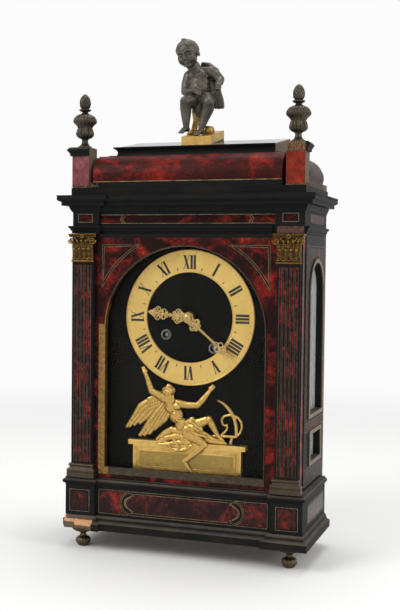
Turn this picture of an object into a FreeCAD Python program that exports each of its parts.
import FreeCAD
import Part
import math
import os

os.makedirs("parts", exist_ok=True)

# Case: heights from the floor up
foot_height = 26.0
plinth_height = 17.0
pedestal_height = 39.0
pedestal_cap_height = 10.0
door_height = 315.5
door_gap = 0.5
architrave_height = 9.5
frieze_height = 18.0
cornice_height = 21.0
caddy_base_height = 10.0
post_height = 41.0
torus_height = 42.0

# Levels that follow from the heights
plinth_level = foot_height
pedestal_level = plinth_level + plinth_height
pedestal_cap_level = pedestal_level + pedestal_height
body_level = pedestal_cap_level + pedestal_cap_height
door_level = body_level + door_gap
door_top = door_level + door_height
architrave_level = door_top + door_gap
frieze_level = architrave_level + architrave_height
cornice_level = frieze_level + frieze_height
caddy_level = cornice_level + cornice_height
post_level = caddy_level + caddy_base_height
roof_level = post_level + torus_height

# Case: widths to one side of the centre and depths from the centre line
back_face = 74.0
back_thickness = 8.0
board_thickness = 12.0
body_half_width = 153.0
door_side_gap = 1.0
door_back = -42.0
door_thickness = 13.0
break_width = 36.0
plinth_core_spread = 3.0
plinth_core_advance = 1.5
plinth_core_break = 6.0
plinth_projection = 9.5
pedestal_spread = 5.0
pedestal_advance = 8.0
pedestal_break = 5.0
pedestal_cap_projection = 3.2
pedestal_cap_depth = 15.0
frieze_spread = 0.8
frieze_setback = 0.5
frieze_break = 4.5
frieze_board_depth = 16.5
architrave_projection = 4.6
cornice_projection = 16.0
inner_back = back_face - back_thickness
body_inner = body_half_width - board_thickness
break_inner = body_half_width - break_width
door_half_width = body_half_width - door_side_gap
door_front = door_back - door_thickness
pedestal_half_width = body_half_width + pedestal_spread
pedestal_front = door_front - pedestal_advance
plinth_core_half_width = body_half_width + plinth_core_spread
plinth_core_front = pedestal_front - plinth_core_advance
frieze_half_width = body_half_width + frieze_spread
frieze_front = door_front + frieze_setback
frieze_board_back = frieze_front + frieze_board_depth

# Feet
foot_side_inset = 14.0
foot_front_inset = 14.0
foot_back_inset = 22.0
foot_pad_radius = 16.0
foot_ball_radius = 10.5
foot_rest_radius = 6.5
foot_neck_radius = 7.5
foot_ball_height = 11.5
foot_neck_height = 15.5
foot_pad_edge = 5.0
foot_x = body_half_width - foot_side_inset
foot_front_y = pedestal_front + foot_front_inset
foot_back_y = back_face - foot_back_inset

# Windows in the sides
window_width = 72.0
window_back_margin = 10.0
window_sill_rise = 92.0
window_straight = 154.0
lower_window_narrowing = 7.0
lower_window_rise = 32.0
lower_window_height = 34.0
window_rebate = 3.7
window_glass_inset = 2.0
window_glass_thickness = 2.0
window_glass_play = 0.2
window_frame_width = 5.0
window_frame_thickness = 1.6
window_back = inner_back - window_back_margin
window_front = window_back - window_width
window_sill = body_level + window_sill_rise
window_springing = window_sill + window_straight
lower_window_front = window_front + lower_window_narrowing
lower_window_back = window_back - lower_window_narrowing
lower_window_sill = body_level + lower_window_rise
lower_window_head = lower_window_sill + lower_window_height

# Top of the case
caddy_base_spread = 2.0
caddy_base_advance = 2.5
caddy_base_back_setback = 3.0
post_spread = 0.5
post_width = 23.5
post_cap_height = 11.0
post_cap_projection = 5.6
torus_setback = 1.0
front_torus_reach = 30.0
side_torus_reach = 40.0
front_torus_gap = 5.0
side_torus_gap = 0.3
rear_block_height = 8.0
roof_side_setback = 41.8
roof_front_setback = 33.0
roof_back_setback = 14.0
roof_step_height = 1.5
roof_step_projection = 4.0
roof_edge_height = 11.5
roof_rise = 14.5
roof_core_inset = 4.7
caddy_base_half_width = body_half_width + caddy_base_spread
caddy_base_front = frieze_front - caddy_base_advance
caddy_base_back = back_face - caddy_base_back_setback
post_outer = body_half_width + post_spread
post_front = caddy_base_front
torus_front = post_front + torus_setback
torus_side = post_outer
roof_half_width = body_half_width - roof_side_setback
roof_front = post_front + roof_front_setback
roof_back = caddy_base_back - roof_back_setback

# Door opening, glass and brass edging
door_stile_width = 44.5
door_rail_height = 13.5
door_head_margin = 14.5
glass_rebate_width = 4.5
glass_rebate_depth = 6.0
glass_thickness = 2.0
glass_play = 0.3
bezel_thickness = 1.2
strip_width = 8.0
strip_thickness = 0.8
strip_overrun = 6.0
light_half_width = door_half_width - door_stile_width
light_sill = door_level + door_rail_height
light_springing = door_top - door_head_margin - light_half_width
strip_top = light_springing + strip_overrun

# Pilasters on the door
pilaster_edge = 1.0
pilaster_width = 29.5
pilaster_thickness = 6.5
pilaster_base_height = 18.0
pilaster_base_projection = 4.5
capital_height = 37.0
capital_projection = 5.0
abacus_height = 5.0
volute_radius = 4.6
leaf_width = 8.0
leaf_reach = 4.5
leaf_thickness = 2.0
pilaster_outer = door_half_width - pilaster_edge
pilaster_inner = pilaster_outer - pilaster_width

# Hinges of the door
hinge_pin_radius = 1.3
hinge_barrel_radius = 2.6
hinge_clearance = 0.05
hinge_height = 24.0
hinge_knuckle_gap = 0.3
hinge_leaf_thickness = 1.2
hinge_leaf_width = 11.0
hinge_barrel_standoff = 0.4
hinge_low_rise = 32.5
hinge_high_drop = 56.0
hinge_low = door_level + hinge_low_rise
hinge_high = door_top - hinge_high_drop

# Dial
dial_rise = 209.5
dial_setback = 11.0
dial_thickness = 3.0
dial_foot_gap = 0.5
dial_head_gap = 3.0
ring_outer = 86.8
ring_inner = 57.8
ring_thickness = 2.0
ferrule_radius = 6.6
ferrule_hole_radius = 4.6
ferrule_thickness = 2.5
ferrule_play = 0.3
going_hole_x = 33.2
going_hole_drop = 38.2
strike_hole_x = -31.3
strike_hole_drop = 22.4
centre_hole_radius = 8.0
dial_pillar_radius = 3.0
dial_height = door_level + dial_rise
dial_front = door_back + dial_setback
dial_foot = door_level + dial_foot_gap
dial_head = door_top - dial_head_gap

# Hands
hour_length = 56.0
minute_length = 79.0
hand_thickness = 0.9
hour_hand_reach = 6.6
minute_hand_reach = 10.0
hand_ring_radius = 3.4
hand_ring_width = 1.1
hand_stem_width = 2.4
hand_tip_width = 6.0
hour_boss_radius = 7.0
minute_boss_radius = 5.0
hour_degrees = 277.0
minute_degrees = 130.0
cannon_bore = 1.4
cannon_radius = 2.5
hour_bore = 2.6
hour_pipe_radius = 4.2
centre_arbor_reach = 12.0
cannon_gap = 0.6
cannon_pinion_reach = 5.0
minute_wheel_reach = 4.4
hour_wheel_reach = 9.2
stud_radius = 1.5
stud_play = 0.06

# Movement frame
front_plate_setback = 23.0
plate_thickness = 2.5
plate_gap = 39.5
plate_half_width = 66.0
plate_rise = 75.0
plate_fall = 73.0
pillar_radius = 3.6
pillar_inset = 6.0
pivot_radius = 0.7
pivot_play = 0.06
arbor_radius = 1.3
shoulder_gap = 0.4
hour_hand_front = dial_front - hour_hand_reach
minute_hand_front = dial_front - minute_hand_reach
centre_arbor_front = dial_front - centre_arbor_reach
front_plate_front = dial_front + front_plate_setback
cannon_back = front_plate_front - cannon_gap
cannon_pinion_front = front_plate_front - cannon_pinion_reach
minute_wheel_front = front_plate_front - minute_wheel_reach
hour_wheel_front = front_plate_front - hour_wheel_reach
wheel_thickness = 1.6
rim_width = 2.6
spoke_width = 2.6
hub_radius = 4.2

# Wheel work: modules
barrel_module = 0.85
second_module = 0.75
centre_module = 0.60
third_module = 0.55
motion_module = 0.80
pinion_length = 4.0

# Wheel work: planes along the depth of the movement
great_wheel_inset = 34.5
second_inset = 38.6
centre_inset = 4.6
third_inset = 16.0
escape_inset = 28.0
hoop_inset = 24.0
fly_inset = 27.0
great_wheel_plane = front_plate_front + great_wheel_inset
second_plane = front_plate_front + second_inset
centre_plane = front_plate_front + centre_inset
third_plane = front_plate_front + third_inset
escape_plane = front_plate_front + escape_inset
hoop_plane = front_plate_front + hoop_inset
fly_plane = front_plate_front + fly_inset
fly_length = 11.0
fly_radius = 10.5
fly_thickness = 0.8

# Barrels and winding arbors
barrel_radius = 26.0
barrel_inset = 9.0
barrel_front = front_plate_front + barrel_inset
winding_arbor_radius = 3.2
winding_bearing_radius = 2.6
winding_play = 0.08
winding_square = 3.8
winding_square_setback = 1.5
winding_square_front = dial_front + winding_square_setback
ratchet_radius = 9.0
ratchet_depth = 1.6
ratchet_reach = 3.0
ratchet_front = front_plate_front - ratchet_reach
ratchet_thickness = 2.0
click_gap = 0.35
click_length = 12.0
click_width = 3.4

# Escapement and pendulum
escape_radius = 14.0
escape_tooth_depth = 2.2
anchor_rise = 19.5
anchor_inset = 27.0
anchor_plane = front_plate_front + anchor_inset
anchor_thickness = 3.6
anchor_gap = 1.5
anchor_arm_width = 3.0
crutch_length = 42.0
crutch_width = 3.0
crutch_thickness = 1.6
crutch_inset = 47.0
rod_inset = 53.0
crutch_plane = front_plate_front + crutch_inset
rod_plane = front_plate_front + rod_inset
rod_radius = 1.3
pendulum_length = 222.0
bob_radius = 21.0
bob_thickness = 9.0
rating_nut_radius = 4.0
rating_nut_height = 4.0
rating_thread = 8.0
cock_width = 14.0
cock_thickness = 2.0
cock_drop = 4.0
cock_rise = 5.5
cock_pin_radius = 1.0
cock_reach = 49.0
eye_radius = 2.6
eye_length = 2.6

# Striking hammer and bell
hammer_x = -46.0
hammer_rise = 58.0
hammer_arm_length = 28.0
hammer_arm_width = 2.6
hammer_head_radius = 4.0
hammer_head_length = 11.0
hammer_gap = 1.5
bell_radius = 26.0
bell_height = 15.0
bell_wall = 1.6
bell_base_rise = 84.0
bell_post_radius = 2.6
bell_bracket_thickness = 2.4
bell_bracket_width = 11.0
bell_bracket_foot = 68.0
bell_inset = 11.0
bell_y = front_plate_front + bell_inset

# Figures, told about their own height
vase_height = 70.0
vase_width = 29.8
vase_x = post_outer - post_width / 2
vase_y = post_front + post_width / 2
putto_height = 122.0
putto_block_width = 42.0
putto_block_depth = 46.0
putto_block_height = 10.0
putto_block_slope = 15.0
putto_block_turn = 4.0
putto_block_bedding = 2.0
putto_block_left = 28.0
putto_block_setback = 32.0
putto_lift = 4.3
putto_x = -7.0
putto_setback = 64.0
putto_y = roof_front + putto_setback
putto_cushion_radius = 8.6
putto_cushion_height = 11.0
time_height = 95.0
time_x = -5.0
time_depth = 6.5
time_wing_thickness = 4.0
time_glass_gap = 0.6
time_scythe_thickness = 2.5
time_plinth_half_width = 73.0
time_plinth_height = 34.0
time_plinth_depth = 8.5
time_slab_height = 6.5
time_slab_projection = 6.0
time_panel_margin = 7.0
time_panel_sink = 2.0
time_base_rise = 10.0
time_base = door_level + time_base_rise

# Shapes told as shares of their own height, width or depth
plinth_shares = [(0, 0), (1, 0), (1, 0.52), (0.86, 0.52), (0.62, 0.60, 0.48, 0.80), (0.30, 0.96, 0.12, 1),
                 (0, 1)]
cap_shares = [(0.1, 0), (0.1, 0.16), (0.45, 0.22), (1, 0.5, 0.45, 0.78), (0.1, 0.84), (0.1, 1)]
architrave_shares = [(0, 0), (0.22, 0), (0.22, 0.35), (0.45, 0.35), (0.62, 0.62, 0.9, 0.74), (1, 0.78),
                     (1, 1), (0, 1)]
cornice_shares = [(0, 0), (0.06, 0), (0.20, 0.22, 0.28, 0.38), (0.70, 0.38), (0.70, 0.58), (0.76, 0.62),
                  (0.93, 0.68, 0.95, 0.90), (1, 0.90), (1, 1), (0, 1)]
post_cap_shares = [(0, 0), (0.46, 0), (0.46, 0.21), (0.60, 0.36, 1, 0.60), (1, 0.75), (0.54, 1), (0, 1)]
torus_shares = [(0, 0), (1, 0), (1, 0.19), (0.98, 0.20), (1.02, 0.36, 0.95, 0.59), (0.78, 0.81, 0.39, 0.965),
                (0.30, 1), (0, 1)]
roof_edge_shares = [(0, 0), (0.34, 0), (0.08, 0.25, 0.10, 0.55), (0.45, 0.72), (1, 0.86), (1, 1), (0, 1)]
vase_shares = [(0, 0), (0.58, 0), (0.58, 0.03), (0.36, 0.07), (0.28, 0.11), (0.28, 0.165), (0.45, 0.176),
               (0.74, 0.246, 0.68, 0.324), (0.62, 0.373), (0.80, 0.43), (1, 0.475), (1, 0.53), (0.88, 0.565),
               (0.66, 0.606), (0.44, 0.627), (0.25, 0.658), (0.50, 0.69), (0.50, 0.715), (0.32, 0.729),
               (0.46, 0.78), (0.46, 0.87), (0.32, 0.94), (0.14, 0.985), (0, 1)]
tooth_addendum_share = 0.70
tooth_dedendum_share = 1.00
tooth_play_share = 0.09
hour_ring_shares = [(-0.070, 0.20), (0.070, 0.20), (0, 0.28), (-0.065, 0.60), (0.065, 0.60), (0, 0.68)]
minute_ring_shares = [(-0.050, 0.16), (0.050, 0.16), (0, 0.22), (-0.048, 0.70), (0.048, 0.70), (0, 0.76),
                      (0, 0.64)]
leaf_row_shares = [(0.02, 0.42, (0.14, 0.5, 0.86)), (0.30, 0.72, (0.32, 0.68))]
putto_limb_shares = [
    (-0.115, 0.074, 0.729, 0.055, -0.094, 0.057, 0.694, 0.062),
    (-0.061, 0.049, 0.632, 0.110, -0.029, 0.074, 0.494, 0.122),
    (-0.029, 0.074, 0.494, 0.120, -0.022, 0.025, 0.419, 0.115),
    (-0.170, 0.049, 0.655, 0.062, -0.192, 0.098, 0.476, 0.050),
    (-0.192, 0.098, 0.476, 0.050, -0.086, 0.172, 0.464, 0.036),
    (-0.086, 0.172, 0.464, 0.036, -0.002, 0.189, 0.453, 0.026),
    (0.078, 0.033, 0.690, 0.062, 0.184, 0.033, 0.602, 0.050),
    (0.184, 0.033, 0.602, 0.050, 0.187, 0.107, 0.532, 0.036),
    (0.187, 0.107, 0.532, 0.036, 0.191, 0.123, 0.499, 0.042),
    (-0.064, 0.033, 0.411, 0.092, -0.142, 0.221, 0.368, 0.068),
    (-0.142, 0.221, 0.368, 0.066, -0.147, 0.205, 0.248, 0.058),
    (-0.147, 0.205, 0.248, 0.057, -0.139, 0.205, 0.087, 0.036),
    (-0.124, 0.189, 0.046, 0.034, -0.166, 0.279, 0.015, 0.027),
    (0.024, 0.033, 0.407, 0.092, 0.118, 0.221, 0.357, 0.068),
    (0.118, 0.221, 0.357, 0.066, 0.084, 0.205, 0.239, 0.058),
    (0.084, 0.205, 0.239, 0.057, 0.033, 0.213, 0.052, 0.036),
    (0.028, 0.197, 0.015, 0.034, 0.004, 0.279, -0.022, 0.027),
    (0.183, 0.098, 0.464, 0.030, 0.180, 0.058, 0.290, 0.045),
    (-0.031, 0.000, 0.788, 0.030, 0.054, 0.016, 0.768, 0.034),
    (0.054, 0.016, 0.768, 0.033, 0.130, 0.045, 0.690, 0.040),
    (-0.090, 0.070, 0.000, 0.060, -0.050, 0.030, 0.330, 0.100)]
putto_head_shares = (-0.160, 0.131, 0.889, 0.126, 0.148)
putto_cushion_shares = (0.071, 0.082)
cushion_shares = [(0, 0), (0.7, 0), (1, 0.5, 0.7, 1), (0, 1)]
lens_edge_share = 0.17
lens_swell_share = 0.34
time_limb_shares = [
    (-0.20, 0.068, 0.66, 0.085, -0.17, 0.068, 0.47, 0.105),
    (-0.17, 0.068, 0.47, 0.105, -0.05, 0.068, 0.16, 0.110),
    (-0.28, 0.068, 0.58, 0.070, -0.46, 0.068, 0.64, 0.050),
    (-0.46, 0.068, 0.64, 0.050, -0.58, 0.068, 0.80, 0.038),
    (-0.58, 0.068, 0.80, 0.038, -0.65, 0.068, 0.96, 0.030),
    (-0.12, 0.068, 0.51, 0.060, 0.16, 0.068, 0.50, 0.045),
    (0.16, 0.068, 0.50, 0.045, 0.36, 0.068, 0.76, 0.036),
    (0.00, 0.068, 0.14, 0.110, 0.35, 0.068, 0.35, 0.060),
    (0.35, 0.068, 0.35, 0.055, 0.50, 0.068, 0.12, 0.038),
    (0.00, 0.068, 0.12, 0.110, 0.28, 0.120, 0.00, 0.065),
    (0.28, 0.120, 0.00, 0.060, 0.06, 0.125, -0.24, 0.038),
    (0.06, 0.125, -0.24, 0.036, 0.12, 0.125, -0.36, 0.028),
    (-0.26, 0.068, 0.00, 0.090, -0.05, 0.068, 0.06, 0.120)]
time_wing_shares = [(-0.40, 0.66), (-0.52, 0.62), (-0.80, 0.28), (-0.85, 0.14), (-0.82, 0.10),
                    (-0.58, 0.26), (-0.66, 0.03),
                    (-0.56, 0.03), (-0.38, 0.22), (-0.20, 0.36), (-0.20, 0.62)]
time_scythe_shares = [(0.41, 0.60), (0.62, 0.48, 0.74, 0.14), (0.70, 0.09), (0.33, 0.09), (0.33, 0.13),
                      (0.67, 0.13),
                      (0.58, 0.42, 0.41, 0.57)]
base_shares = [(0, 0), (1, 0), (1, 0.36), (0.86, 0.36), (1.0, 0.48, 0.86, 0.60), (0.5, 0.62),
               (0.36, 0.72, 0.42, 0.80),
               (0.62, 0.88, 0.42, 0.96), (0.12, 1), (0, 1)]


def point(x, y, z):
    return FreeCAD.Vector(x, y, z)


def block(x_from, x_to, y_from, y_to, z_from, z_to):
    return Part.makeBox(x_to - x_from, y_to - y_from, z_to - z_from, point(x_from, y_from, z_from))


def outline(steps, place):
    """Closed wire; a step of two values is a straight line, of four an arc through the first pair."""
    edges = []
    last = place(*steps[0][-2:])
    for step in steps[1:] + steps[:1]:
        end = place(*step[-2:])
        if len(step) == 4:
            edges.append(Part.Arc(last, place(*step[:2]), end).toShape())
        elif (end - last).Length > 0:
            edges.append(Part.makeLine(last, end))
        last = end
    return Part.Wire(edges)


def plate(steps, y_from, y_to):
    """Upright plate with its outline in X and Z."""
    face = Part.Face(outline(steps, lambda x, z: point(x, y_from, z)))
    return face.extrude(point(0, y_to - y_from, 0))


def side_plate(steps, x_from, x_to):
    """Upright plate with its outline in Y and Z."""
    face = Part.Face(outline(steps, lambda y, z: point(x_from, y, z)))
    return face.extrude(point(x_to - x_from, 0, 0))


def board(plan, z_from, z_to):
    """Level board with its outline in X and Y."""
    face = Part.Face(Part.makePolygon([point(x, y, z_from) for x, y in plan + plan[:1]]))
    return face.extrude(point(0, 0, z_to - z_from))


def broken_front(half_width, front, step_back, rear):
    """Plan of a stage that breaks forward under or over the pilasters."""
    middle = front + step_back
    return [(-half_width, rear), (-half_width, front), (-break_inner, front), (-break_inner, middle),
            (break_inner, middle), (break_inner, front), (half_width, front), (half_width, rear)]


def moulding(plan, steps, z_from):
    """Profile run round three sides of a plan with mitred corners; steps are offset and height."""
    path = Part.makePolygon([point(x, y, z_from) for x, y in plan])
    start_x, start_y = plan[0]
    wire = outline(steps, lambda offset, rise: point(start_x - offset, start_y, z_from + rise))
    return path.makePipeShell([wire], True, False, 1)


def shared(shares, width, height):
    """Shares of width and height turned into lengths."""
    scaled = []
    for share in shares:
        scaled.append(tuple(value * (height if i % 2 else width) for i, value in enumerate(share)))
    return scaled


def turned(steps, x, y, z):
    """Solid turned about an upright axis; steps are radius and height."""
    wire = outline(steps, lambda radius, rise: point(x + radius, y, z + rise))
    return Part.Face(wire).revolve(point(x, y, z), point(0, 0, 1), 360)


def rod(x, z, radius, y_from, y_to):
    return Part.makeCylinder(radius, y_to - y_from, point(x, y_from, z), point(0, 1, 0))


def pair(shape):
    return [shape, shape.mirror(point(0, 0, 0), point(1, 0, 0))]


def joined(shapes):
    return shapes[0].multiFuse(shapes[1:])


def save(name, shapes):
    Part.makeCompound(shapes).exportStep("parts/" + name + ".step")


def arched(half_width, sill, springing, centre):
    """Outline of a round-headed light."""
    left = centre - half_width
    right = centre + half_width
    return [(left, sill), (right, sill), (right, springing),
            (centre, springing + half_width, left, springing)]


# Feet
foot_steps = [(0, 0), (foot_rest_radius, 0), (foot_ball_radius, foot_ball_height / 2, foot_neck_radius,
                                              foot_ball_height),
              (foot_neck_radius, foot_neck_height), (foot_pad_radius, foot_height - foot_pad_edge),
              (foot_pad_radius, foot_height), (0, foot_height)]
feet = []
for foot_y in (foot_front_y, foot_back_y):
    feet += pair(turned(foot_steps, foot_x, foot_y, 0))
save("feet", feet)

# Base board, and the plinth moulding round it with its broken left front corner
core_plan = broken_front(plinth_core_half_width, plinth_core_front, plinth_core_break, inner_back)
save("base_board", [board(core_plan, plinth_level, pedestal_level)])
plinth = moulding(core_plan, shared(plinth_shares, plinth_projection, plinth_height), plinth_level)
plinth_outer = plinth_core_half_width + plinth_projection
plinth_lost = block(-plinth_outer, -break_inner, plinth_core_front - plinth_projection,
                    plinth_core_front + plinth_projection,
                    plinth_level, pedestal_level)
save("plinth_moulding", plinth.cut(plinth_lost).Solids)

# Pedestal stage: one front board with two pedestals, and two sides
pedestal_plan = broken_front(pedestal_half_width, pedestal_front, pedestal_break, door_back)
pedestal_side = block(pedestal_half_width - board_thickness, pedestal_half_width, door_back, inner_back,
                      pedestal_level, pedestal_cap_level)
save("pedestal_box", [board(pedestal_plan, pedestal_level, pedestal_cap_level)] + pair(pedestal_side))
cap_plan = broken_front(pedestal_half_width, pedestal_front, pedestal_break, inner_back)
cap_steps = shared(cap_shares, pedestal_cap_projection, pedestal_cap_height)
cap_steps = [(-pedestal_cap_depth, 0)] + cap_steps + [(-pedestal_cap_depth, pedestal_cap_height)]
save("pedestal_cap_moulding", [moulding(cap_plan, cap_steps, pedestal_cap_level)])

# Sides of the body with an arched window and a small window below it
window_centre = (window_front + window_back) / 2
window_half = (window_back - window_front) / 2
side_front = door_back + door_gap


def lower_light(spread):
    return [(lower_window_front - spread, lower_window_sill - spread),
            (lower_window_back + spread, lower_window_sill - spread),
            (lower_window_back + spread, lower_window_head + spread), (lower_window_front - spread,
                                                                       lower_window_head + spread)]


def upper_light(spread):
    return arched(window_half + spread, window_sill - spread, window_springing, window_centre)


def both_lights(spread, x_from, x_to):
    return [side_plate(upper_light(spread), x_from, x_to), side_plate(lower_light(spread), x_from, x_to)]


glass_seat = body_inner + window_glass_inset + window_glass_thickness
side = block(body_inner, body_half_width, side_front, inner_back, body_level, architrave_level)
side = side.cut(Part.makeCompound(both_lights(0, body_inner, body_half_width)))
side = side.cut(Part.makeCompound(both_lights(window_rebate, body_inner, glass_seat)))
right_side, left_side = pair(side)
save("right_side_panel", [right_side])
save("left_side_panel", [left_side])
panes = []
frames = []
frame_outer = body_half_width + window_frame_thickness
for pane in both_lights(window_rebate - window_glass_play, glass_seat - window_glass_thickness, glass_seat):
    panes += pair(pane)
save("side_window_glass", panes)
for outer, inner in zip(both_lights(window_frame_width, body_half_width, frame_outer),
                        both_lights(0, body_half_width, frame_outer)):
    frames += pair(outer.cut(inner))
save("side_window_frames", frames)

# Back board
save("back_board", [block(-body_half_width, body_half_width, inner_back, back_face, plinth_level,
                          caddy_level)])

# Entablature: box of boards, architrave with its lost right break, and cornice
frieze_plan = broken_front(frieze_half_width, frieze_front, frieze_break, frieze_board_back)
frieze_inner = frieze_half_width - board_thickness
frieze_side = block(frieze_inner, frieze_half_width, frieze_board_back, inner_back, architrave_level,
                    caddy_level)
frieze_top = block(-frieze_inner, frieze_inner, frieze_board_back, inner_back,
                   caddy_level - board_thickness, caddy_level)
save("entablature_box", [board(frieze_plan, architrave_level, caddy_level), frieze_top] + pair(frieze_side))
run_plan = broken_front(frieze_half_width, frieze_front, frieze_break, inner_back)
architrave = moulding(run_plan, shared(architrave_shares, architrave_projection, architrave_height),
                      architrave_level)
architrave_lost = block(break_inner - architrave_projection, frieze_half_width + architrave_projection,
                        frieze_front - architrave_projection, frieze_front + frieze_break,
                        architrave_level, frieze_level)
save("architrave_moulding", architrave.cut(architrave_lost).Solids)
save("cornice_moulding", [moulding(run_plan, shared(cornice_shares, cornice_projection, cornice_height),
                                   cornice_level)])

# Caddy: board, corner posts with caps, rear blocks, and the swelling torus between them
caddy_board = block(-caddy_base_half_width, caddy_base_half_width, caddy_base_front, caddy_base_back,
                    caddy_level, post_level)
post_inner = post_outer - post_width
post_back = post_front + post_width
post_top = post_level + post_height
cap_top = post_top + post_cap_height
front_post = block(post_inner, post_outer, post_front, post_back, post_level, cap_top)
rear_block = block(post_inner, post_outer, caddy_base_back - post_width, caddy_base_back, post_level,
                   post_level + rear_block_height)
save("corner_posts", pair(front_post) + pair(rear_block))

# A cap moulding runs round the front and outer side of the left post; on the right one only the side is left
cap_steps = shared(post_cap_shares, post_cap_projection, post_cap_height)
cap_plan = [(-post_outer, post_back), (-post_outer, post_front), (-post_inner, post_front)]
left_cap = moulding(cap_plan, cap_steps, post_top)
right_cap = pair(moulding(cap_plan[:2], cap_steps, post_top))[1]
save("post_caps", [left_cap, right_cap])

# The torus swells over a square fillet and ends level at its top
front_profile = shared(torus_shares, front_torus_reach, torus_height)
torus_back_y = torus_front + front_torus_reach
front_wire = outline(front_profile, lambda reach, rise: point(-post_inner + front_torus_gap,
                                                              torus_back_y - reach, post_level + rise))
front_length = post_inner + post_inner - front_torus_gap - front_torus_gap
front_torus = Part.Face(front_wire).extrude(point(front_length, 0, 0))
side_profile = shared(torus_shares, side_torus_reach, torus_height)
torus_inner_x = torus_side - side_torus_reach
side_start = post_back + side_torus_gap
side_wire = outline(side_profile, lambda reach, rise: point(torus_inner_x + reach, side_start,
                                                            post_level + rise))
side_end = caddy_base_back - post_width - side_torus_gap
side_torus = Part.Face(side_wire).extrude(point(0, side_end - side_start, 0))
side_torus = side_torus.cut(block(0, post_inner, side_start, torus_back_y + side_torus_gap, post_level,
                                  roof_level))
save("caddy_torus", [front_torus] + pair(side_torus))
caddy_back = block(-torus_inner_x, torus_inner_x, side_end - board_thickness, side_end, post_level,
                   roof_level)
save("caddy_boards", [caddy_board, caddy_back])

# Roof: sloping board with a moulded edge that is lost at its right end
edge_top = roof_level + roof_step_height + roof_edge_height
core_half = roof_half_width - roof_core_inset
core_steps = [(roof_front + roof_core_inset, roof_level + roof_step_height),
              (roof_back, roof_level + roof_step_height),
              (roof_back, edge_top + roof_rise), (roof_front + roof_core_inset, edge_top)]
roof_board = side_plate(core_steps, -core_half, core_half)
save("roof_board", [roof_board])
roof_plan = [(-core_half, roof_back), (-core_half, roof_front + roof_core_inset),
             (core_half, roof_front + roof_core_inset)]
step_plate = block(-roof_half_width - roof_step_projection, roof_half_width + roof_step_projection,
                   roof_front - roof_step_projection, roof_back, roof_level, roof_level + roof_step_height)
edge_steps = shared(roof_edge_shares, roof_core_inset, roof_edge_height)
save("roof_moulding", [step_plate, moulding(roof_plan, edge_steps, roof_level + roof_step_height)])

# Vases on the posts
vase_steps = shared(vase_shares, vase_width / 2, vase_height)
save("vases", pair(turned(vase_steps, vase_x, vase_y, cap_top)))

# Door: two stiles, a bottom rail and an arched head, rebated for the glass
light = plate(arched(light_half_width, light_sill, light_springing, 0), door_front, door_back)
rebate_half = light_half_width + glass_rebate_width
rebate = plate(arched(rebate_half, light_sill - glass_rebate_width, light_springing, 0),
               door_back - glass_rebate_depth, door_back)
door = block(-door_half_width, door_half_width, door_front, door_back, door_level,
             door_top).cut(light).cut(rebate)
head_block = block(-door_half_width, door_half_width, door_front, door_back, light_springing, door_top)
stile_block = block(light_half_width, door_half_width, door_front, door_back, door_level, light_springing)
rail_block = block(-light_half_width, light_half_width, door_front, door_back, door_level, light_springing)
save("door_head", [door.common(head_block)])
save("door_stiles", pair(door.common(stile_block)))
save("door_bottom_rail", [door.common(rail_block)])
glass_front = door_back - glass_rebate_depth
glass_half = rebate_half - glass_play
glass_sill = light_sill - glass_rebate_width + glass_play
save("door_glass", [plate(arched(glass_half, glass_sill, light_springing, 0), glass_front,
                          glass_front + glass_thickness)])

# Brass edging of the light: a bezel lining the edge and flat strips at the foot and the left jamb
bezel = plate(arched(light_half_width, light_sill, light_springing, 0), door_front - bezel_thickness,
              glass_front)
bezel_hole = arched(light_half_width - bezel_thickness, light_sill + bezel_thickness, light_springing, 0)
bezel = bezel.cut(plate(bezel_hole, door_front - bezel_thickness, glass_front))
sill_strip = block(-light_half_width, light_half_width, door_front - strip_thickness, door_front,
                   light_sill - strip_width, light_sill)
jamb_strip = block(-light_half_width - strip_width, -light_half_width, door_front - strip_thickness,
                   door_front,
                   light_sill - strip_width, strip_top)
save("door_edging", [bezel, sill_strip, jamb_strip])

# Pilasters with moulded bases and leafy capitals
pilaster_front = door_front - pilaster_thickness
pilaster_foot = door_level + pilaster_base_height
capital_foot = door_top - capital_height
shaft = block(pilaster_inner, pilaster_outer, pilaster_front, door_front, pilaster_foot, capital_foot)
save("pilasters", pair(shaft))
pilaster_plan = [(pilaster_inner, door_front), (pilaster_inner, pilaster_front),
                 (pilaster_outer, pilaster_front),
                 (pilaster_outer, door_front)]
base_run = moulding(pilaster_plan, shared(base_shares, pilaster_base_projection, pilaster_base_height),
                    door_level)
base_core = block(pilaster_inner, pilaster_outer, pilaster_front, door_front, door_level, pilaster_foot)
save("pilaster_bases", pair(base_run.fuse(base_core)))


def capital():
    """Bell with two rows of curling leaves, corner volutes and an abacus."""
    abacus_foot = door_top - abacus_height
    parts = [block(pilaster_inner, pilaster_outer, pilaster_front, door_front, capital_foot, abacus_foot)]
    parts.append(block(pilaster_inner - capital_projection, pilaster_outer + capital_projection,
                       pilaster_front - capital_projection, door_front, abacus_foot, door_top))
    width = pilaster_outer - pilaster_inner
    for foot_share, head_share, places in leaf_row_shares:
        foot = capital_foot + foot_share * capital_height
        head = capital_foot + head_share * capital_height
        for place_share in places:
            centre = pilaster_inner + place_share * width
            tongue = [(pilaster_front, foot), (pilaster_front - leaf_thickness, foot),
                      (pilaster_front - leaf_thickness, (foot + head) / 2, pilaster_front - leaf_reach,
                       head),
                      (pilaster_front, head)]
            parts.append(side_plate(tongue, centre - leaf_width / 2, centre + leaf_width / 2))
    for corner in (pilaster_inner, pilaster_outer):
        parts.append(rod(corner, abacus_foot - volute_radius, volute_radius, pilaster_front - leaf_reach,
                         door_front))
    return joined(parts)


save("capitals", pair(capital()))

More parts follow.
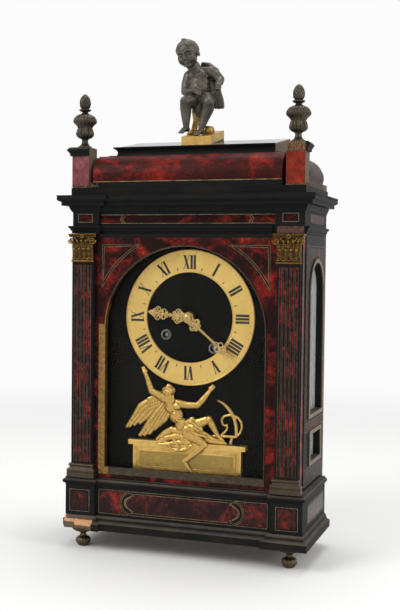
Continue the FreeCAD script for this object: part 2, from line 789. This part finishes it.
# Hinges on the left edge of the door
hinge_x = -body_half_width - hinge_barrel_standoff - hinge_barrel_radius
leaf_face = -body_half_width - hinge_leaf_thickness
case_leaves = []
door_leaves = []
for hinge_z in (hinge_low, hinge_high):
    middle = hinge_z + hinge_height / 2
    knuckle = Part.makeCylinder(hinge_barrel_radius, hinge_height / 2, point(hinge_x, door_back, hinge_z))
    pin = Part.makeCylinder(hinge_pin_radius, hinge_height, point(hinge_x, door_back, hinge_z))
    leaf = block(leaf_face, -body_half_width, side_front, side_front + hinge_leaf_width, hinge_z, middle)
    case_leaves.append(joined([knuckle, pin, leaf]))
    upper = middle + hinge_knuckle_gap
    door_knuckle = Part.makeCylinder(hinge_barrel_radius, hinge_height / 2 - hinge_knuckle_gap,
                                     point(hinge_x, door_back, upper))
    bore = Part.makeCylinder(hinge_pin_radius + hinge_clearance, hinge_height,
                             point(hinge_x, door_back, hinge_z))
    door_leaf = block(leaf_face, -door_half_width, door_back - hinge_leaf_width, door_back, upper,
                      hinge_z + hinge_height)
    door_leaves.append(door_knuckle.fuse(door_leaf).cut(bore))
save("hinge_case_leaves", case_leaves)
save("hinge_door_leaves", door_leaves)

# Dial: velvet board, chapter ring and winding ferrules
dial_back = dial_front + dial_thickness
going_z = dial_height - going_hole_drop
strike_z = dial_height - strike_hole_drop
winding_places = [(going_hole_x, going_z), (strike_hole_x, strike_z)]
dial_board = block(-body_inner, body_inner, dial_front, dial_back, dial_foot, dial_head)
dial_board = dial_board.cut(rod(0, dial_height, centre_hole_radius, dial_front, dial_back))
ferrules = []
for hole_x, hole_z in winding_places:
    dial_board = dial_board.cut(rod(hole_x, hole_z, ferrule_hole_radius + ferrule_play, dial_front,
                                    dial_back))
    ferrule = rod(hole_x, hole_z, ferrule_radius, dial_front - ferrule_thickness, dial_front)
    ferrules.append(ferrule.cut(rod(hole_x, hole_z, ferrule_hole_radius, dial_front - ferrule_thickness,
                                    dial_front)))
save("dial_board", [dial_board])
save("winding_ferrules", ferrules)
ring_disc = rod(0, dial_height, ring_outer, dial_front - ring_thickness, dial_front)
save("chapter_ring", [ring_disc.cut(rod(0, dial_height, ring_inner, dial_front - ring_thickness,
                                        dial_front))])

# Movement frame
plate_back = front_plate_front + plate_thickness
rear_plate_front = plate_back + plate_gap
rear_plate_back = rear_plate_front + plate_thickness
plate_foot = dial_height - plate_fall
plate_head = dial_height + plate_rise


def apart(x_a, z_a, reach_a, x_b, z_b, reach_b, turn):
    """Place at two given distances from two points, on the side given by turn."""
    gap = math.hypot(x_b - x_a, z_b - z_a)
    along = (reach_a * reach_a - reach_b * reach_b + gap * gap) / (2 * gap)
    off = math.sqrt(reach_a * reach_a - along * along) * turn
    unit_x = (x_b - x_a) / gap
    unit_z = (z_b - z_a) / gap
    return x_a + along * unit_x - off * unit_z, z_a + along * unit_z + off * unit_x


def beside(x, z, reach, degrees):
    return x + reach * math.cos(math.radians(degrees)), z + reach * math.sin(math.radians(degrees))


# Teeth of the going train, the motion work and the striking train
great_teeth = 70
great_pinion_teeth = 10
second_teeth = 60
centre_pinion_teeth = 10
centre_teeth = 80
third_pinion_teeth = 8
third_teeth = 76
escape_pinion_teeth = 8
escape_teeth = 40
pin_pinion_teeth = 10
pin_teeth = 60
hoop_pinion_teeth = 8
hoop_teeth = 56
fly_pinion_teeth = 8
cannon_teeth = 12
minute_teeth = 36
minute_pinion_teeth = 10
hour_teeth = 40
ratchet_teeth = 24
pressure_degrees = 25

# Directions from one arbor to the next, in degrees from X towards Z
third_direction = 105
pin_direction = 80
hoop_direction = 120
fly_direction = 60
minute_direction = 60
anchor_span = 42
hour_module = motion_module * (cannon_teeth + minute_teeth) / (minute_pinion_teeth + hour_teeth)

great_reach = (great_teeth + great_pinion_teeth) * barrel_module / 2
second_reach = (second_teeth + centre_pinion_teeth) * second_module / 2
centre_reach = (centre_teeth + third_pinion_teeth) * centre_module / 2
third_reach = (third_teeth + escape_pinion_teeth) * third_module / 2
pin_reach = (pin_teeth + hoop_pinion_teeth) * centre_module / 2
hoop_reach = (hoop_teeth + fly_pinion_teeth) * third_module / 2
motion_reach = (cannon_teeth + minute_teeth) * motion_module / 2
second_x, second_z = apart(0, dial_height, second_reach, going_hole_x, going_z, great_reach, 1)
third_x, third_z = beside(0, dial_height, centre_reach, third_direction)
escape_z = third_z + math.sqrt(third_reach * third_reach - third_x * third_x)
pin_x, pin_z = beside(strike_hole_x, strike_z, great_reach, pin_direction)
hoop_x, hoop_z = beside(pin_x, pin_z, pin_reach, hoop_direction)
fly_x, fly_z = beside(hoop_x, hoop_z, hoop_reach, fly_direction)
minute_x, minute_z = beside(0, dial_height, motion_reach, minute_direction)
anchor_z = escape_z + anchor_rise
hammer_z = dial_height + hammer_rise


def involute(angle):
    return math.tan(angle) - angle


def gear(x, z, teeth, module, phase, y_from, y_to):
    """Toothed disc; phase is the angle of one tooth in radians, counted from X towards Z."""
    pitch = teeth * module / 2
    base = pitch * math.cos(math.radians(pressure_degrees))
    root = pitch - tooth_dedendum_share * module
    tip = pitch + tooth_addendum_share * module
    radii = [root, tip] if root > base else [root, base, pitch, tip]
    half_pitch = math.pi / (2 * teeth) - tooth_play_share / teeth
    corners = []
    for tooth in range(teeth):
        centre = phase + 2 * math.pi * tooth / teeth
        flank = []
        for radius in radii:
            slope = math.acos(base / radius) if radius > base else 0
            flank.append((radius, half_pitch + involute(math.radians(pressure_degrees)) - involute(slope)))
        for radius, half in flank:
            corners.append((x + radius * math.cos(centre - half), z + radius * math.sin(centre - half)))
        for radius, half in reversed(flank):
            corners.append((x + radius * math.cos(centre + half), z + radius * math.sin(centre + half)))
    return plate(corners, y_from, y_to)


def meshing(x_a, z_a, teeth_a, phase_a, x_b, z_b, teeth_b):
    """Phase that sets a tooth gap of the second gear on a tooth of the first."""
    line = math.atan2(z_b - z_a, x_b - x_a)
    place = (line - phase_a) * teeth_a / (2 * math.pi)
    return line + math.pi - (2 * math.pi / teeth_b) * (1 / 2 - place)


def crossed(wheel, x, z, root_radius, y_from, y_to):
    """Wheel with four crossings left between rim and hub."""
    space = rod(x, z, root_radius - rim_width, y_from, y_to).cut(rod(x, z, hub_radius, y_from, y_to))
    reach = root_radius
    space = space.cut(block(x - reach, x + reach, y_from, y_to, z - spoke_width / 2, z + spoke_width / 2))
    space = space.cut(block(x - spoke_width / 2, x + spoke_width / 2, y_from, y_to, z - reach, z + reach))
    return wheel.cut(space)


def wheel(x, z, teeth, module, phase, y_from):
    y_to = y_from + wheel_thickness
    disc = gear(x, z, teeth, module, phase, y_from, y_to)
    return crossed(disc, x, z, teeth * module / 2 - module, y_from, y_to)


def arbor(x, z):
    """Arbor between the plates with a pivot in each."""
    staff = rod(x, z, arbor_radius, plate_back + shoulder_gap, rear_plate_front - shoulder_gap)
    return staff.fuse(rod(x, z, pivot_radius, front_plate_front, rear_plate_back))


front_plate = block(-plate_half_width, plate_half_width, front_plate_front, plate_back, plate_foot,
                    plate_head)
rear_plate = block(-plate_half_width, plate_half_width, rear_plate_front, rear_plate_back, plate_foot,
                   plate_head)
pivots = [(second_x, second_z), (third_x, third_z), (0, escape_z), (pin_x, pin_z), (hoop_x, hoop_z),
          (fly_x, fly_z),
          (hammer_x, hammer_z), (0, anchor_z), (0, dial_height)]
holes = [rod(x, z, pivot_radius + pivot_play, front_plate_front, rear_plate_back) for x, z in pivots]
holes += [rod(x, z, winding_bearing_radius + winding_play, front_plate_front, rear_plate_back) for x,
          z in winding_places]
holes.append(rod(0, dial_height, arbor_radius + pivot_play, front_plate_front, plate_back))
holes.append(rod(0, anchor_z, arbor_radius + pivot_play, rear_plate_front, rear_plate_back))
save("movement_plates", [front_plate.cut(Part.makeCompound(holes)),
                         rear_plate.cut(Part.makeCompound(holes))])
pillars = []
for corner_z in (plate_foot + pillar_inset, plate_head - pillar_inset):
    pillars += pair(rod(plate_half_width - pillar_inset, corner_z, pillar_radius, plate_back,
                        rear_plate_front))
    pillars += pair(rod(plate_half_width - pillar_inset, corner_z, dial_pillar_radius, dial_back,
                        front_plate_front))
pillars.append(rod(minute_x, minute_z, stud_radius, hour_wheel_front, front_plate_front))
save("movement_pillars", pillars)

# Barrels with their springs, and the arbors that wind them
great_wheel_back = great_wheel_plane + wheel_thickness
spring_shares = (0.36, 0.90)


def barrel(x, z, phase):
    bore = rod(x, z, winding_arbor_radius + winding_play, barrel_front, great_wheel_back)
    drum = rod(x, z, barrel_radius, barrel_front, great_wheel_plane)
    hollow = rod(x, z, barrel_radius - wheel_thickness, barrel_front + wheel_thickness,
                 great_wheel_plane - wheel_thickness)
    toothed = gear(x, z, great_teeth, barrel_module, phase, great_wheel_plane, great_wheel_back)
    coil_from = barrel_front + wheel_thickness + shoulder_gap
    coil_to = great_wheel_plane - wheel_thickness - shoulder_gap
    coil = rod(x, z, barrel_radius * spring_shares[1], coil_from, coil_to)
    coil = coil.cut(rod(x, z, barrel_radius * spring_shares[0], coil_from, coil_to))
    return [drum.cut(hollow).fuse(toothed).cut(bore), coil]


def ratchet(x, z):
    corners = []
    for tooth in range(ratchet_teeth):
        start = 2 * math.pi * tooth / ratchet_teeth
        for radius in (ratchet_radius, ratchet_radius - ratchet_depth):
            corners.append((x + radius * math.cos(start), z + radius * math.sin(start)))
    return plate(corners, ratchet_front, ratchet_front + ratchet_thickness)


def winding_arbor(x, z):
    staff = rod(x, z, winding_arbor_radius, plate_back + shoulder_gap, rear_plate_front - shoulder_gap)
    bearing = rod(x, z, winding_bearing_radius, ratchet_front, rear_plate_back)
    square = block(x - winding_square / 2, x + winding_square / 2, winding_square_front, ratchet_front,
                   z - winding_square / 2, z + winding_square / 2)
    return joined([staff, bearing, square, ratchet(x, z)])


def click(x, z, side):
    """Click lying beside the ratchet, standing just clear of its teeth, turning on its own screw."""
    pivot_x = x + side * (ratchet_radius + click_gap + click_width / 2)
    nose = block(pivot_x - click_width / 2, pivot_x + click_width / 2, ratchet_front,
                 ratchet_front + ratchet_thickness,
                 z, z + click_length)
    return nose.fuse(rod(pivot_x, z + click_length, click_width / 2 + click_gap, ratchet_front,
                         front_plate_front))


save("going_barrel", barrel(going_hole_x, going_z, 0))
save("strike_barrel", barrel(strike_hole_x, strike_z, 0))
save("going_winding_arbor", [winding_arbor(going_hole_x, going_z)])
save("strike_winding_arbor", [winding_arbor(strike_hole_x, strike_z)])
save("going_click", [click(going_hole_x, going_z, 1)])
save("strike_click", [click(strike_hole_x, strike_z, -1)])

# Going train
second_phase = meshing(going_hole_x, going_z, great_teeth, 0, second_x, second_z, great_pinion_teeth)
pinion_back = great_wheel_back + shoulder_gap
second_arbor = arbor(second_x, second_z).fuse(
    gear(second_x, second_z, great_pinion_teeth, barrel_module, second_phase, pinion_back - pinion_length,
         pinion_back))
save("second_wheel", [second_arbor.fuse(wheel(second_x, second_z, second_teeth, second_module, second_phase,
                                              second_plane))])
centre_phase = meshing(second_x, second_z, second_teeth, second_phase, 0, dial_height, centre_pinion_teeth)
centre_staff = rod(0, dial_height, arbor_radius, centre_arbor_front, rear_plate_front - shoulder_gap)
centre_staff = centre_staff.fuse(rod(0, dial_height, pivot_radius, rear_plate_front - shoulder_gap,
                                     rear_plate_back))
centre_leaves = gear(0, dial_height, centre_pinion_teeth, second_module, centre_phase,
                     second_plane - shoulder_gap,
                     second_plane + wheel_thickness + shoulder_gap)
centre_disc = wheel(0, dial_height, centre_teeth, centre_module, centre_phase, centre_plane)
save("centre_wheel", [joined([centre_staff, centre_leaves, centre_disc])])
third_phase = meshing(0, dial_height, centre_teeth, centre_phase, third_x, third_z, third_pinion_teeth)
third_leaves = gear(third_x, third_z, third_pinion_teeth, centre_module, third_phase,
                    centre_plane - shoulder_gap,
                    centre_plane + wheel_thickness + shoulder_gap)
third_disc = wheel(third_x, third_z, third_teeth, third_module, third_phase, third_plane)
save("third_wheel", [joined([arbor(third_x, third_z), third_leaves, third_disc])])
escape_phase = meshing(third_x, third_z, third_teeth, third_phase, 0, escape_z, escape_pinion_teeth)
escape_leaves = gear(0, escape_z, escape_pinion_teeth, third_module, escape_phase, third_plane - shoulder_gap,
                     third_plane + wheel_thickness + shoulder_gap)
saw = []
for tooth in range(escape_teeth):
    start = 2 * math.pi * tooth / escape_teeth
    for radius in (escape_radius, escape_radius - escape_tooth_depth):
        saw.append((radius * math.cos(start), escape_z + radius * math.sin(start)))
escape_disc = crossed(plate(saw, escape_plane, escape_plane + wheel_thickness), 0, escape_z,
                      escape_radius - escape_tooth_depth, escape_plane, escape_plane + wheel_thickness)
save("escape_wheel", [joined([arbor(0, escape_z), escape_leaves, escape_disc])])

# Striking train
pin_phase = meshing(strike_hole_x, strike_z, great_teeth, 0, pin_x, pin_z, pin_pinion_teeth)
pin_leaves = gear(pin_x, pin_z, pin_pinion_teeth, barrel_module, pin_phase, pinion_back - pinion_length,
                  pinion_back)
pin_disc = wheel(pin_x, pin_z, pin_teeth, centre_module, pin_phase, second_plane)
save("pin_wheel", [joined([arbor(pin_x, pin_z), pin_leaves, pin_disc])])
hoop_phase = meshing(pin_x, pin_z, pin_teeth, pin_phase, hoop_x, hoop_z, hoop_pinion_teeth)
hoop_leaves = gear(hoop_x, hoop_z, hoop_pinion_teeth, centre_module, hoop_phase, second_plane - shoulder_gap,
                   second_plane + wheel_thickness + shoulder_gap)
hoop_disc = wheel(hoop_x, hoop_z, hoop_teeth, third_module, hoop_phase, hoop_plane)
save("hoop_wheel", [joined([arbor(hoop_x, hoop_z), hoop_leaves, hoop_disc])])
fly_phase = meshing(hoop_x, hoop_z, hoop_teeth, hoop_phase, fly_x, fly_z, fly_pinion_teeth)
fly_leaves = gear(fly_x, fly_z, fly_pinion_teeth, third_module, fly_phase, hoop_plane - shoulder_gap,
                  hoop_plane + wheel_thickness + shoulder_gap)
vane = block(fly_x - fly_radius, fly_x + fly_radius, fly_plane, fly_plane + fly_length,
             fly_z - fly_thickness / 2,
             fly_z + fly_thickness / 2)
save("fly", [joined([arbor(fly_x, fly_z), fly_leaves, vane])])


def hand(length, rings, boss_radius, front, degrees):
    """Pierced hand: boss, stem, clusters of rings and a leaf-shaped tip, turned clockwise from twelve."""
    back = front + hand_thickness
    parts = [rod(0, dial_height, boss_radius, front, back)]
    stem_to = dial_height + length - hand_tip_width
    parts.append(block(-hand_stem_width / 2, hand_stem_width / 2, front, back, dial_height, stem_to))
    tip_from = stem_to - hand_tip_width
    tip = [(0, tip_from), (hand_tip_width / 2, stem_to), (0, dial_height + length),
           (-hand_tip_width / 2, stem_to)]
    parts.append(plate(tip, front, back))
    eyes = []
    for side_share, along_share in rings:
        ring_x = side_share * length
        ring_z = dial_height + along_share * length
        parts.append(rod(ring_x, ring_z, hand_ring_radius, front, back))
        eyes.append(rod(ring_x, ring_z, hand_ring_radius - hand_ring_width, front, back))
    shape = joined(parts).cut(Part.makeCompound(eyes))
    shape.rotate(point(0, 0, dial_height), point(0, 1, 0), degrees)
    return shape


# Motion work and hands
cannon_phase = math.pi / 2 - math.radians(minute_degrees)
cannon = rod(0, dial_height, cannon_radius, minute_hand_front, cannon_back)
cannon_leaves = gear(0, dial_height, cannon_teeth, motion_module, cannon_phase, cannon_pinion_front,
                     cannon_back)
minute_hand = joined([hand(minute_length, minute_ring_shares, minute_boss_radius, minute_hand_front,
                           minute_degrees), cannon, cannon_leaves])
cannon_hole = rod(0, dial_height, cannon_bore, minute_hand_front, cannon_back)
save("minute_hand", [minute_hand.cut(cannon_hole)])
minute_phase = meshing(0, dial_height, cannon_teeth, cannon_phase, minute_x, minute_z, minute_teeth)
minute_disc = gear(minute_x, minute_z, minute_teeth, motion_module, minute_phase, minute_wheel_front,
                   minute_wheel_front + wheel_thickness)
minute_leaves = gear(minute_x, minute_z, minute_pinion_teeth, hour_module, minute_phase, hour_wheel_front,
                     minute_wheel_front)
stud_hole = rod(minute_x, minute_z, stud_radius + stud_play, hour_wheel_front, front_plate_front)
save("minute_wheel", [minute_disc.fuse(minute_leaves).cut(stud_hole)])
hour_phase = meshing(minute_x, minute_z, minute_pinion_teeth, minute_phase, 0, dial_height, hour_teeth)
hour_disc = gear(0, dial_height, hour_teeth, hour_module, hour_phase, hour_wheel_front,
                 hour_wheel_front + wheel_thickness)
hour_pipe = rod(0, dial_height, hour_pipe_radius, hour_hand_front, hour_wheel_front + wheel_thickness)
hour_hole = rod(0, dial_height, hour_bore, hour_hand_front, hour_wheel_front + wheel_thickness)
hour_parts = [hand(hour_length, hour_ring_shares, hour_boss_radius, hour_hand_front, hour_degrees),
              hour_pipe, hour_disc]
save("hour_hand", [joined(hour_parts).cut(hour_hole)])

# Anchor with its crutch, and the pendulum on the cock
band_inner = escape_radius + anchor_gap
band_outer = band_inner + anchor_arm_width
band_x, band_rise = beside(0, 0, band_inner, anchor_span)
tip_x, tip_rise = beside(0, 0, band_outer, anchor_span)
band = plate([(band_x, escape_z + band_rise), (tip_x, escape_z + tip_rise),
              (0, escape_z + band_outer, -tip_x, escape_z + tip_rise), (-band_x, escape_z + band_rise),
              (0, escape_z + band_inner, band_x, escape_z +
               band_rise)], anchor_plane, anchor_plane + anchor_thickness)
anchor_hub = rod(0, anchor_z, hub_radius, anchor_plane, anchor_plane + anchor_thickness)
anchor_staff = rod(0, anchor_z, arbor_radius, plate_back + shoulder_gap, crutch_plane + crutch_thickness)
anchor_pivot = rod(0, anchor_z, pivot_radius, front_plate_front, plate_back + shoulder_gap)
crutch = block(-crutch_width / 2, crutch_width / 2, crutch_plane, crutch_plane + crutch_thickness,
               anchor_z - crutch_length, anchor_z)
prong_inner = rod_radius + shoulder_gap
prong = block(prong_inner, prong_inner + crutch_thickness, crutch_plane, rod_plane + rod_radius,
              anchor_z - crutch_length - crutch_thickness, anchor_z - crutch_length)
prong_bar = block(-prong_inner - crutch_thickness, prong_inner + crutch_thickness, crutch_plane,
                  crutch_plane + crutch_thickness,
                  anchor_z - crutch_length - crutch_thickness, anchor_z - crutch_length)
save("anchor", [joined([band, anchor_hub, anchor_staff, anchor_pivot, crutch, prong_bar] + pair(prong))])
eye = rod(0, anchor_z, eye_radius, rod_plane - eye_length / 2, rod_plane + eye_length / 2)
bob_z = anchor_z - pendulum_length
thread_z = bob_z - bob_radius - rating_nut_height - rating_thread
pendulum_rod = Part.makeCylinder(rod_radius, anchor_z - thread_z, point(0, rod_plane, thread_z))
lens_edge = bob_thickness * lens_edge_share
lens_swell = bob_thickness * lens_swell_share
lens_steps = [(0, -bob_thickness / 2), (bob_radius / 2, -lens_swell, bob_radius, -lens_edge / 2),
              (bob_radius, lens_edge / 2),
              (bob_radius / 2, lens_swell, 0, bob_thickness / 2)]
lens_wire = outline(lens_steps, lambda radius, depth: point(radius, rod_plane + depth, bob_z))
lens = Part.Face(lens_wire).revolve(point(0, rod_plane, bob_z), point(0, 1, 0), 360)
rating_nut = Part.makeCylinder(rating_nut_radius, rating_nut_height,
                               point(0, rod_plane, bob_z - bob_radius - rating_nut_height))
eye_hole = rod(0, anchor_z, cock_pin_radius + pivot_play, rod_plane - eye_length / 2,
               rod_plane + eye_length / 2)
save("pendulum", [joined([eye, pendulum_rod, lens, rating_nut]).cut(eye_hole)])
tab_front = cock_reach - cock_thickness
cock_top = anchor_z + cock_rise + cock_thickness
cock = [block(-cock_width / 2, cock_width / 2, rear_plate_back, cock_reach, anchor_z + cock_rise, cock_top),
        block(-cock_width / 2, cock_width / 2, tab_front, cock_reach, anchor_z - cock_drop, cock_top),
        rod(0, anchor_z, cock_pin_radius, rod_plane - eye_length / 2 - shoulder_gap, tab_front)]

# Bell on its bracket, and the hammer beside it
bell_x = hammer_x + hammer_head_length / 2 + hammer_gap + bell_radius
bell_z = dial_height + bell_base_rise
bell_top = bell_z + bell_height
dome_radius = (bell_radius * bell_radius + bell_height * bell_height) / (2 * bell_height)
dome_foot = bell_height - dome_radius
half_dome = math.asin(bell_radius / dome_radius) / 2
inner_dome = dome_radius - bell_wall
inner_mouth = math.sqrt(inner_dome * inner_dome - dome_foot * dome_foot)
bell_steps = [(0, bell_height), (0, bell_height - bell_wall),
              (inner_dome * math.sin(half_dome), dome_foot + inner_dome * math.cos(half_dome), inner_mouth,
               0), (bell_radius, 0),
              (dome_radius * math.sin(half_dome), dome_foot + dome_radius * math.cos(half_dome), 0,
               bell_height)]
save("bell", [turned(bell_steps, bell_x, bell_y, bell_z)])
arm_z = bell_top + bell_bracket_thickness
bracket = [block(bell_x - bell_bracket_width / 2, bell_x + bell_bracket_width / 2,
                 rear_plate_front - bell_bracket_thickness,
                 rear_plate_front, dial_height + bell_bracket_foot, arm_z + bell_bracket_thickness),
           block(bell_x - bell_bracket_width / 2, bell_x + bell_bracket_width / 2,
                 bell_y - bell_bracket_width / 2,
                 rear_plate_front, arm_z, arm_z + bell_bracket_thickness),
           Part.makeCylinder(bell_post_radius, bell_bracket_thickness, point(bell_x, bell_y, bell_top))]
save("movement_brackets", [joined(cock), joined(bracket)])
hammer_top = hammer_z + hammer_arm_length
hammer_arm = block(hammer_x - hammer_arm_width / 2, hammer_x + hammer_arm_width / 2,
                   bell_y - hammer_arm_width / 2,
                   bell_y + hammer_arm_width / 2, hammer_z, hammer_top)
hammer_head = Part.makeCylinder(hammer_head_radius, hammer_head_length,
                                point(hammer_x - hammer_head_length / 2, bell_y, hammer_top),
                                point(1, 0, 0))
save("hammer", [joined([arbor(hammer_x, hammer_z), hammer_arm, hammer_head])])


def limb(start, start_radius, end, end_radius):
    """Tapered limb with rounded ends."""
    way = end - start
    shape = Part.makeCone(start_radius, end_radius, way.Length, start, way)
    return joined([shape, Part.makeSphere(start_radius, start), Part.makeSphere(end_radius, end)])


# Seated child on a gilt wedge that is bedded on the slope of the roof
block_front = roof_front + putto_block_setback
core_front = roof_front + roof_core_inset
block_base = edge_top + roof_rise * (block_front - core_front) / (roof_back - core_front)
block_top = block_base + putto_block_height
block_back = block_front + putto_block_depth
block_back_top = block_top + putto_block_depth * math.tan(math.radians(putto_block_slope))
putto_foot = block_top + putto_lift
block_low = block_base - putto_block_bedding
wedge_steps = [(block_front, block_low), (block_back, block_low), (block_back, block_back_top),
               (block_front, block_top)]
wedge = side_plate(wedge_steps, -putto_block_left, putto_block_width - putto_block_left)
wedge.rotate(point(-putto_block_left, block_front, 0), point(0, 0, 1), -putto_block_turn)
gilt_block = wedge.cut(roof_board)


def putto_point(x_share, forward_share, z_share):
    return point(putto_x + x_share * putto_height, putto_y - forward_share * putto_height,
                 putto_foot + z_share * putto_height)


child = []
for x_a, f_a, z_a, r_a, x_b, f_b, z_b, r_b in putto_limb_shares:
    child.append(limb(putto_point(x_a, f_a, z_a), r_a * putto_height, putto_point(x_b, f_b, z_b),
                      r_b * putto_height))
head_x, head_forward, head_z, head_radius, head_rise = putto_head_shares
stretch = FreeCAD.Matrix()
stretch.scale(1, 1, head_rise / head_radius)
skull = Part.makeSphere(head_radius * putto_height).transformGeometry(stretch)
skull.translate(putto_point(head_x, head_forward, head_z))
child.append(skull)
figure = joined(child).cut(gilt_block)
cushion_x, cushion_forward = putto_cushion_shares
cushion_at = putto_point(cushion_x, cushion_forward, 0)
cushion = turned(shared(cushion_shares, putto_cushion_radius, putto_cushion_height), cushion_at.x,
                 cushion_at.y, cushion_at.z)
cushion = cushion.cut(gilt_block).cut(figure)
save("putto_figure", figure.Solids)
save("putto_block", gilt_block.Solids + cushion.Solids)

# Winged old man with a scythe on his plinth, against the dial board
plinth_back = dial_front
body_depth = plinth_back - time_depth
plinth_top = time_base + time_plinth_height
pedestal = block(-time_plinth_half_width, time_plinth_half_width, plinth_back - time_plinth_depth,
                 plinth_back, time_base, plinth_top)
panel_front = plinth_back - time_plinth_depth
pedestal = pedestal.cut(block(-time_plinth_half_width + time_panel_margin,
                              time_plinth_half_width - time_panel_margin, panel_front,
                              panel_front + time_panel_sink, time_base + time_panel_margin,
                              plinth_top - time_panel_margin))
slab = block(-time_plinth_half_width - time_slab_projection, time_plinth_half_width + time_slab_projection,
             panel_front - time_panel_sink, plinth_back, plinth_top, plinth_top + time_slab_height)
save("time_plinth", [pedestal.fuse(slab)])
slab_top = plinth_top + time_slab_height


def time_place(x_share, z_share):
    return time_x + x_share * time_height, slab_top + z_share * time_height


old_man = []
for x_a, out_a, z_a, r_a, x_b, out_b, z_b, r_b in time_limb_shares:
    start_x, start_z = time_place(x_a, z_a)
    end_x, end_z = time_place(x_b, z_b)
    old_man.append(limb(point(start_x, plinth_back - out_a * time_height, start_z), r_a * time_height,
                        point(end_x, plinth_back - out_b * time_height, end_z), r_b * time_height))
old_man.append(plate([time_place(x, z) for x, z in time_wing_shares], plinth_back - time_wing_thickness,
                     plinth_back))
scythe_steps = []
for share in time_scythe_shares:
    step = ()
    for place_at in range(0, len(share), 2):
        step += time_place(share[place_at], share[place_at + 1])
    scythe_steps.append(step)
old_man.append(plate(scythe_steps, body_depth - time_scythe_thickness / 2,
                     body_depth + time_scythe_thickness / 2))
relief = joined(old_man)
room = block(-body_inner, body_inner, glass_front + glass_thickness + time_glass_gap, plinth_back, dial_foot,
             dial_head)
save("time_figure", relief.common(room).cut(pedestal.fuse(slab)).Solids)
